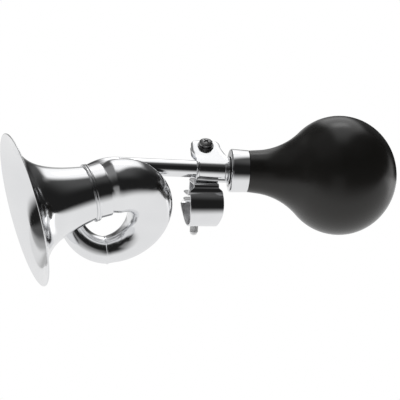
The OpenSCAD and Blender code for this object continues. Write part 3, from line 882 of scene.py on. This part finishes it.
def make_reed():
    bore = REED_TUBE_R - 1.2
    plug = PIPE_R - TUBE_WALL - PLAY
    start, edge, nose, tip = PIPE_END - 4, 0.3, 0.8, REED_END - 1.5
    flange, flange_top = PIPE_END + PLAY, PIPE_END + PLAY + 1
    outline = [(bore, start), (plug - edge, start), (plug, start + edge), (plug, flange)]
    outline += [(REED_FLANGE_R, flange), (REED_FLANGE_R, flange_top), (REED_TUBE_R, flange_top)]
    outline += arc((REED_TUBE_R - nose, REED_END - nose), nose, 0, 90, 5)
    outline += [(0, REED_END), (0, tip), (bore, tip), (bore, start)]
    tube = turned("reed_shallot", outline, 64)
    length = REED_END - PIPE_END
    slot_len = length - 11
    cut_box(tube, shift(-REED_FLAT - 5, 0, flange_top + 0.01 + length / 2), (10, 12, length))
    cut_box(tube, shift(-3, 0, PIPE_END + 8 + slot_len / 2), (6, 1.9, slot_len))
    settle(tube, HORN @ ON_PIPE, BRASS, "brass", "horn", "reed_tube", smooth=30)

    clip_x, clip_w = PIPE_END + 2.6, 3.0
    outline = round_outside(REED_TUBE_R + PLAY, REED_TUBE_R + 0.9, clip_x, clip_x + clip_w, 0.2, 3)
    clip = turned("reed_root_clip", outline, 64)
    settle(clip, HORN @ ON_PIPE, BRASS, "brass", "horn", "reed_clip")

    root = PIPE_END + 1.8
    height = REED_FLAT + TONGUE_GAP + TONGUE_T / 2
    path = [(0.4, 0.1), (0.0, 0.25), (-0.3, 0.05), (0.0, -0.1), (0.5, 0)]
    path += [((tip - root) * i / 10, 0.0) for i in range(1, 11)]
    half, narrow = TONGUE_W / 2, TONGUE_W / 2 - 0.6
    edges = [(-half, half)] * (len(path) - 1) + [(-narrow, narrow)]
    tongue = bent_strip("reed_brass_tongue", path, edges, TONGUE_T)
    place = shift(root, 0, PIPE_Z + height) @ turn(-90, "Z")
    settle(tongue, HORN @ place, BRASS, "brass", "reed", "reed_tongue")


# The clamp: strap round the pipe, strap round the handlebar, rivet and screws.


def slice_across(piece, places):
    """Cuts across a piece at each X, with nothing taken away."""
    pick(piece)
    go_to("EDIT")
    for x in places:
        select_all_of_it()
        bpy.ops.mesh.bisect(plane_co=(x, 0, 0), plane_no=(1, 0, 0))
    go_to("OBJECT")


def ear_edges(y):
    """Left and right edge of an ear, which leans to the bell and ends in round corners."""
    half, root_half = EAR_W / 2, STRAP_HALF - 0.1
    reach = EAR_LEN - EAR_CORNER
    if y > reach:
        spread = half - EAR_CORNER + math.sqrt(max(0, EAR_CORNER ** 2 - (y - reach) ** 2))
        return -EAR_LEAN - spread, spread - EAR_LEAN
    share = (y - EAR_ROOT) / (reach - EAR_ROOT)
    ease = share * share * (3 - 2 * share)
    left = -root_half + (root_half - half - EAR_LEAN) * min(1, ease * 2.2)
    return left, root_half + (half - EAR_LEAN - root_half) * ease


def crown_ear(strap):
    """Presses the upper ear down along its edges, as a press does when it cuts the sheet.

    The lower ear's upper face is rounded off in the same way.
    """
    for spot in strap.data.vertices:
        x, y, z = spot.co
        if y < CROWN_FROM or z < CROWN_ABOVE:
            continue
        left, right = ear_edges(min(y, EAR_LEN))
        inside = max(0, min(x - left, right - x, EAR_LEN - y))
        near = max(0, 1 - inside / CROWN_BORDER)
        spot.co.z -= CROWN_DROP * min(1, (y - CROWN_FROM) / (CROWN_FULL - CROWN_FROM)) * near ** 2


def make_pipe_strap():
    """One strip: the lower ear, round the pipe, and out to the upper ear."""
    middle_r = BORE_R + STRAP_T / 2
    lower = BORE_R - EAR_GAP - STRAP_T / 2
    reach = EAR_LEN - EAR_CORNER
    levels = [EAR_ROOT + (reach - EAR_ROOT) * i / 8 for i in range(9)]
    levels += [reach + EAR_CORNER * math.sin(math.radians(9 * i)) for i in range(1, 11)]
    touch = math.degrees(math.asin(lower / middle_r))
    ring = arc((0, 0), middle_r, touch, -270, 48)[1:] + [(1.5, middle_r)]
    path = [(y, lower) for y in levels[::-1]] + ring + [(y, middle_r) for y in levels]
    ears = [ear_edges(y) for y in levels]
    edges = ears[::-1] + [(-STRAP_HALF, STRAP_HALF)] * len(ring) + ears
    strap = bent_strip("pipe_strap_sheet", path, edges, STRAP_T)
    # Cuts beside both edges of the ears give the pressed border enough points to bend.
    left_cuts = [-11.0 + 0.5 * i for i in range(6)]
    right_cuts = [1.6 + 0.5 * i for i in range(15)]
    slice_across(strap, left_cuts + right_cuts)
    round_edges(strap, SHEET_EDGE, 4, 60)
    crown_ear(strap)
    drill(strap, shift(-EAR_LEAN, EAR_SCREW, 0), PIPE_SCREW_D / 2 + SCREW_PLAY)
    place = shift(STRAP_X, 0, PIPE_Z) @ turn(EAR_ANGLE, "X")
    settle(strap, place, STRAP_CHROME, "chrome", "pipe_clamp", "pipe_strap")


def make_strap_lips():
    """Rolled lips round both ends of the pipe strap, which taper off where the ears begin."""
    outer = BORE_R + STRAP_T
    for name, end in (("pipe_strap_left_lip", -1), ("pipe_strap_right_lip", 1)):
        ring = arc((0, 0), outer, EAR_ANGLE - LIP_FROM, EAR_ANGLE - LIP_TO, 96)
        count = len(ring) - 1
        points, radii = [], []
        for i, (y, z) in enumerate(ring):
            # The lip is thinner above the saddle, which it has to clear when it swivels.
            over_saddle = max(0, min(1, (-z / outer - 0.5) / 0.35))
            full = LIP_R - (LIP_R - LOW_LIP_R) * over_saddle
            radii.append(full * min(1, 0.1 + 4 * math.sqrt(min(i, count - i) / count)))
            points.append((STRAP_X + end * (STRAP_HALF - radii[-1]), y, PIPE_Z + z))
        lip = swept(name, points, radii, 8)
        settle(lip, Matrix(), STRAP_CHROME, "chrome", "pipe_clamp", "pipe_strap")


def make_strap_foot():
    """Flat foot under the pipe strap, folded up on both sides to meet the ring."""
    base = SADDLE_Z + BAR_STRAP_T + PLAY + STRAP_T / 2
    half, fold = FOOT_HALF - STRAP_T / 2, 1.0
    right = arc((half - fold, base + fold), fold, -90, 0, 6) + [(half, base + 1.5), (half, base + 2.0)]
    path = [(-y, z) for y, z in right[::-1]] + right
    foot = bent_strip("pipe_strap_foot", path, [(-STRAP_HALF, STRAP_HALF)] * len(path), STRAP_T)
    round_edges(foot, 0.3, 3, 60)
    settle(foot, shift(STRAP_X, 0, 0), STRAP_CHROME, "chrome", "pipe_clamp", "pipe_strap")


def eased(start, stop, share):
    """From start to stop as the share goes from 0 to 1, slow at both ends."""
    share = min(1, max(0, share))
    return start + (stop - start) * share * share * (3 - 2 * share)


def bar_strap_half(y, z):
    """Half the width of the handlebar strap, which is widest in front of the bar."""
    half = BAR_STRAP_W / 2
    low = eased(half, BAR_LOW_W / 2, -z / BAR_R)
    high = eased(half, SADDLE_W / 2, (z - BAR_TAPER_Z) / (SADDLE_Z - 1 - BAR_TAPER_Z))
    out = eased(half, BAR_EAR_W / 2, (y - BAR_R) / (BAR_SCREW_Y - BAR_R))
    behind = half
    if z > BAR_EAR_Z / 2:
        behind = eased(half, BAR_BACK_W / 2, (y - 1) / (SADDLE_BACK - BAR_STRAP_T - 1))
    past_corner = y - BAR_EAR_END + BAR_EAR_CORNER
    if past_corner > 0:
        sunk = BAR_EAR_CORNER - math.sqrt(max(0.0, BAR_EAR_CORNER ** 2 - past_corner ** 2))
        return max(BAR_EAR_W / 2 - sunk, 0.5)
    return min(low, high, behind, out)


def make_bar_strap():
    """One strip: upper ear, up and over the saddle, down round the handlebar to the lower ear."""
    t = BAR_STRAP_T
    middle = BAR_R + t / 2
    front, back, top = SADDLE_FRONT - t / 2, SADDLE_BACK - t / 2, SADDLE_Z + t / 2
    upper, lower = BAR_EAR_Z + t / 2, BAR_EAR_Z - BAR_GAP - t / 2
    front_z = math.sqrt(middle * middle - front * front)
    back_z = math.sqrt(middle * middle - back * back)
    # Radius of the saddle's bends, start of the ears, and the room in which the strip turns.
    bend, ear_root, ease, ease_angle = 1.6, 13.5, 0.4, 3
    corner_y = BAR_EAR_END - BAR_EAR_CORNER
    ear_line = [BAR_EAR_END - BAR_EAR_CORNER * i / 6 for i in range(7)]
    ear_line += [corner_y - (corner_y - ear_root) * i / 8 for i in range(1, 9)]
    path = [(y, upper) for y in ear_line]
    start = math.degrees(math.asin(upper / middle))
    path += arc((0, 0), middle, start + ease_angle, math.degrees(math.atan2(back_z, back)) - 2, 4)
    path += [(back, back_z + 3 * ease + i) for i in range(4)]
    path += arc((back - bend, top - bend), bend, 0, 90, 8)
    path += [(back - bend - (front + back - 2 * bend) * i / 8, top) for i in range(1, 8)]
    path += arc((bend - front, top - bend), bend, 90, 180, 8)
    path += [(-front, top - bend - ease), (-front, front_z + 2 * ease)]
    end = 360 + math.degrees(math.asin(lower / middle))
    path += arc((0, 0), middle, 182 - math.degrees(math.atan2(front_z, front)), end - ease_angle, 64)
    path += [(y, lower) for y in ear_line[::-1]]
    halves = [bar_strap_half(y, z) for y, z in path]
    strap = bent_strip("bar_strap_sheet", path, [(-half, half) for half in halves], t)
    round_edges(strap, SHEET_EDGE, 4, 60)
    drill(strap, shift(BAR_SCREW_SIDE, BAR_SCREW_Y, 0), BAR_SCREW_D / 2 + SCREW_PLAY)
    drill(strap, shift(0, 0, SADDLE_Z), RIVET_R + PLAY, 6)
    settle(strap, ON_BAR, BAR_CHROME, "chrome", "handlebar_strap", "bar_strap")


def screw_outline(length, d, head_d, pitch):
    """Outline of a pan-head screw with a threaded shank and a rounded end."""
    head_r, crest = head_d / 2, d / 2 - 0.02
    tip, tip_r, root = d * 0.35, d / 2 * 0.86, d / 2 - 0.5 * pitch
    outline = [(0, -length)]
    for a in (20, 40, 60, 80):
        way = math.radians(a)
        outline.append((tip_r * math.sin(way), -length + tip * (1 - math.cos(way))))
    z = -length + tip
    while z < -1.2 - pitch:
        outline += [(root, z), (crest, z + pitch * 0.42), (crest, z + pitch * 0.58)]
        z += pitch
    under, edge = 0.25, 0.5
    rim = HEAD_H * 0.55
    dome = HEAD_H - rim
    outline += [(root, z), (crest, z + 0.4), (crest, 0), (head_r - under, 0)]
    outline += arc((head_r - under, under), under, -90, 0, 4)
    outline += [(head_r, rim - edge)]
    ball = (head_r ** 2 + dome ** 2) / (2 * dome)
    widest = math.degrees(math.asin((head_r - edge * 0.4) / ball))
    return outline + arc((0, HEAD_H - ball), ball, 90 - widest, 90, 16)[:-1] + [(0, HEAD_H)]


def make_screw(name, length, d, head_d, pitch, turned_by):
    screw = turned(name, screw_outline(length, d, head_d, pitch), 64)
    for angle in (0, 90):
        place = turn(angle + turned_by, "Z") @ shift(0, 0, HEAD_H * 0.35 + HEAD_H / 2)
        cut_box(screw, place, (head_d * 0.6, head_d * 0.135, HEAD_H), floor=(0.35, 0.7))
    return screw


def make_nut(name, d, across):
    """Hexagon nut with rounded corners on both faces and a plain bore."""
    deselect()
    bpy.ops.mesh.primitive_cylinder_add(vertices=6, radius=across / 2 / math.cos(math.pi / 6), depth=NUT_H)
    nut = bpy.context.object
    nut.name = name
    go_to("EDIT")
    select_all_of_it()
    bpy.ops.transform.translate(value=(0, 0, -NUT_H / 2))
    go_to("OBJECT")
    flat, corner = across / 2 - 0.15, across / 2 + 0.75
    cone = turned(name + "_chamfer", [
        (flat, 1), (across, 1), (across, -NUT_H - 1), (flat, -NUT_H - 1), (flat, -NUT_H),
        (corner, 0.5 - NUT_H), (corner, -0.5), (flat, 0), (flat, 1)], 96)
    cut_away(nut, cone)
    drill(nut, Matrix(), d / 2 + PLAY, 20)
    round_edges(nut, 0.08, 2, 50)
    return nut


def make_washer(name, d, head_d):
    outline = round_outside(d / 2 + SCREW_PLAY, head_d / 2 + 0.6, 0, WASHER_T, 0.22)
    return turned(name, outline, 96)


def make_fasteners():
    ear_top, ear_under = BORE_R + STRAP_T, BORE_R - EAR_GAP - STRAP_T
    bar_top, bar_under = BAR_EAR_Z + BAR_STRAP_T, BAR_EAR_Z - BAR_GAP - BAR_STRAP_T
    place = AT_EAR_SCREW @ shift(0, 0, ear_top + WASHER_T)
    screw = make_screw("strap_pan_screw", PIPE_SCREW_LEN, PIPE_SCREW_D, PIPE_HEAD_D, 0.7, 38)
    settle(screw, place, DARK_STEEL, "steel", "pipe_clamp_screw", "pipe_screw")
    washer = make_washer("strap_screw_washer", PIPE_SCREW_D, PIPE_HEAD_D)
    place = AT_EAR_SCREW @ shift(0, 0, ear_top)
    settle(washer, place, DARK_STEEL, "steel", "pipe_clamp", "pipe_screw_washer")
    nut = make_nut("strap_hex_nut", PIPE_SCREW_D, PIPE_NUT_AF)
    settle(nut, AT_EAR_SCREW @ shift(0, 0, ear_under), STEEL, "steel", "pipe_clamp", "pipe_nut", smooth=25)

    place = AT_BAR_SCREW @ shift(0, 0, bar_top + WASHER_T)
    screw = make_screw("bar_pan_screw", BAR_SCREW_LEN, BAR_SCREW_D, BAR_HEAD_D, 0.8, 20)
    settle(screw, place, STEEL, "steel", "handlebar_screw", "bar_screw")
    washer = make_washer("bar_screw_plain_washer", BAR_SCREW_D, BAR_HEAD_D)
    settle(washer, AT_BAR_SCREW @ shift(0, 0, bar_top), STEEL, "steel", "handlebar_strap", "bar_screw_washer")
    nut = make_nut("bar_hex_nut", BAR_SCREW_D, BAR_NUT_AF)
    place = AT_BAR_SCREW @ shift(0, 0, bar_under)
    settle(nut, place, STEEL, "steel", "handlebar_strap", "bar_nut", smooth=25)


def make_rivet():
    top = SADDLE_Z + BAR_STRAP_T + PLAY + STRAP_T
    spring_t, spring_r, flat_r, edge = 0.6, 4.4, 2.7, 0.5
    under = SADDLE_Z - spring_t - 2 * PLAY
    outline = [(0, under - 1), (1.6, under - 1)] + arc((flat_r, under - edge), edge, -90, 0, 4)
    outline += [(flat_r + edge, under), (RIVET_R, under), (RIVET_R, top), (flat_r - 0.1, top)]
    outline += [(flat_r, top + 0.12), (2.1, top + 0.38), (0, top + 0.45)]
    rivet = turned("swivel_rivet_body", outline, 64)
    settle(rivet, Matrix(), STEEL, "steel", "pipe_clamp", "swivel_rivet")
    low = SADDLE_Z - spring_t - PLAY
    washer = turned("swivel_spring_washer",
                    round_outside(RIVET_R + PLAY, spring_r, low, low + spring_t, 0.2, 3), 64)
    settle(washer, Matrix(), STEEL, "steel", "pipe_clamp", "swivel_washer")


make_bell()
make_bell_ring()
make_sleeve()
make_front_bend()
make_rear_bend()
make_seam_ring()
make_pipe()
make_collar()
make_collar_washer()
make_holder()
make_bulb()
make_reed()
make_pipe_strap()
make_strap_lips()
make_strap_foot()
make_bar_strap()
make_fasteners()
make_rivet()


# Floor, light and camera.


# The way back to the camera, its right and its up. It is a metre from its target.
CAMERA_BACK = Vector((-0.12880, -0.96741, 0.21801))
CAMERA_RIGHT = Vector((0.99080, -0.11633, 0.06915))
CAMERA_UP = Vector((-0.04153, 0.22491, 0.97350))
CAMERA_TARGET = Vector((-0.00180, -0.00313, 0.00376))
CAMERA_LENS = 155.17
FLOOR_WIDTH = 6
# Sine and cosine of the angle at which the camera looks down.
CAMERA_SINE = 0.2181
CAMERA_COSINE = 0.9759

# Soft bands of light: the strength, then each edge as where it is dark and where it is full.
# The first edges are degrees round the horn's length: 0 is at the camera, 90 overhead, -90 below.
# The others are shares of the way to the right, from -1 beyond the bell to 1 beyond the bulb.
LIGHT_BANDS = {
    "table": (0.84, [(-12, -60)], []),
    "lamp": (1.6, [(103, 110), (126, 113)], [(-0.18, 0), (0.32, 0.12)]),
    "haze": (0.07, [(24, 60), (176, 150)], [(0.85, 0.35)]),
    "left_wall": (0.14, [(8, 62), (118, 96)], [(-0.04, -0.24), (-0.88, -0.66)]),
    "low_front": (0.22, [(-50, -20), (4, -10)], [(-0.5, -0.36), (0.08, -0.06)]),
    "left_end": (0.3, [(100, 145)], [(-0.4, -0.7)]),
    "backdrop": (0.45, [(148, 166)], [(0.24, 0.02)]),
}
ROOM_LIGHT = 0.014
RIGHT_BACK = 0.75


def fade(tree, value, dark, full):
    """Changes smoothly from 0 where it is dark to 1 where it is full, on whichever side that is."""
    if full > dark:
        return remap(tree, value, dark, full, 0, 1, "SMOOTHSTEP")
    return remap(tree, value, full, dark, 1, 0, "SMOOTHSTEP")


def product(tree, first, *others):
    for other in others:
        first = scaled(tree, first, other)
    return first


def make_world():
    """Studio round the horn: a lit table, a dark room in front, a card and a lamp overhead.

    A grey wall and end are on the left, a backdrop behind, and a light behind on the right.
    """
    world = bpy.data.worlds.new("studio")
    bpy.context.scene.world = world
    world.use_nodes = True
    tree = world.node_tree
    direction = add(tree, "ShaderNodeTexCoord").outputs["Generated"]
    side = vector_node(tree, "DOT_PRODUCT", direction, (1, 0, 0))
    front = vector_node(tree, "DOT_PRODUCT", direction, (0, -CAMERA_COSINE, CAMERA_SINE))
    over = vector_node(tree, "DOT_PRODUCT", direction, (0, CAMERA_SINE, CAMERA_COSINE))
    round_it = scaled(tree, math_node(tree, "ARCTAN2", over, front), 180 / math.pi)

    # The overhead card starts higher towards the right and ends lower away from its middle.
    card_from = remap(tree, side, 0.1, 0.55, 62, 104)
    off_middle = math_node(tree, "ABSOLUTE", math_node(tree, "SUBTRACT", side, 0.1))
    card_to = remap(tree, off_middle, 0.12, 0.42, 148, 114)
    above_from = math_node(tree, "SUBTRACT", round_it, card_from)
    above_to = math_node(tree, "SUBTRACT", round_it, card_to)
    card = product(tree, fade(tree, above_from, -8, 22), fade(tree, above_to, 12, -8),
                   fade(tree, side, -0.28, -0.1), fade(tree, side, 0.68, 0.4))
    behind = math_node(tree, "ABSOLUTE", round_it)
    right_back = product(tree, fade(tree, behind, 140, 168), fade(tree, side, 0.7, 0.86), RIGHT_BACK)
    light = math_node(tree, "ADD", math_node(tree, "ADD", card, right_back), ROOM_LIGHT)
    for strength, edges_round, edges_aside in LIGHT_BANDS.values():
        fades = [fade(tree, round_it, *edge) for edge in edges_round]
        fades += [fade(tree, side, *edge) for edge in edges_aside]
        light = math_node(tree, "ADD", product(tree, *fades, strength), light)

    # Camera rays see plain white, and every other ray sees the studio.
    grey = add(tree, "ShaderNodeCombineColor", {0: light, 1: light, 2: light}).outputs[0]
    from_camera = add(tree, "ShaderNodeLightPath").outputs["Is Camera Ray"]
    seen = tint(tree, from_camera, grey, (1, 1, 1))
    tree.links.new(seen, tree.nodes["Background"].inputs["Color"])


def make_floor():
    """A white sheet under the horn, which only the camera sees: the chrome has the table's light."""
    deselect()
    bpy.ops.mesh.primitive_plane_add(size=1, location=(0, 0, solid_box[0][2] - MM))
    floor = bpy.context.object
    floor.name = "studio_floor"
    floor.scale = (FLOOR_WIDTH, FLOOR_WIDTH, 1)
    bpy.ops.object.transform_apply(location=True, rotation=True, scale=True)
    material = bpy.data.materials.new("pale_floor")
    material.use_nodes = True
    tree = material.node_tree
    tree.nodes.remove(tree.nodes["Principled BSDF"])
    glow = add(tree, "ShaderNodeEmission", {"Color": (1, 1, 1, 1)})
    tree.links.new(glow.outputs[0], tree.nodes["Material Output"].inputs["Surface"])
    floor.data.materials.append(material)
    floor.visible_glossy = False
    floor.visible_diffuse = False


def make_camera():
    data = bpy.data.cameras.new("photo_camera")
    camera = bpy.data.objects.new("photo_camera", data)
    bpy.context.scene.collection.objects.link(camera)
    data.lens = CAMERA_LENS
    data.sensor_width = 36
    data.clip_start = 0.01
    data.clip_end = 20
    place = Matrix((CAMERA_RIGHT, CAMERA_UP, CAMERA_BACK)).transposed().to_4x4()
    place.translation = CAMERA_TARGET + CAMERA_BACK
    camera.matrix_world = place
    bpy.context.scene.camera = camera


make_world()
make_floor()
make_camera()
bpy.context.scene.view_settings.view_transform = "Standard"
bpy.context.scene.view_settings.look = "None"
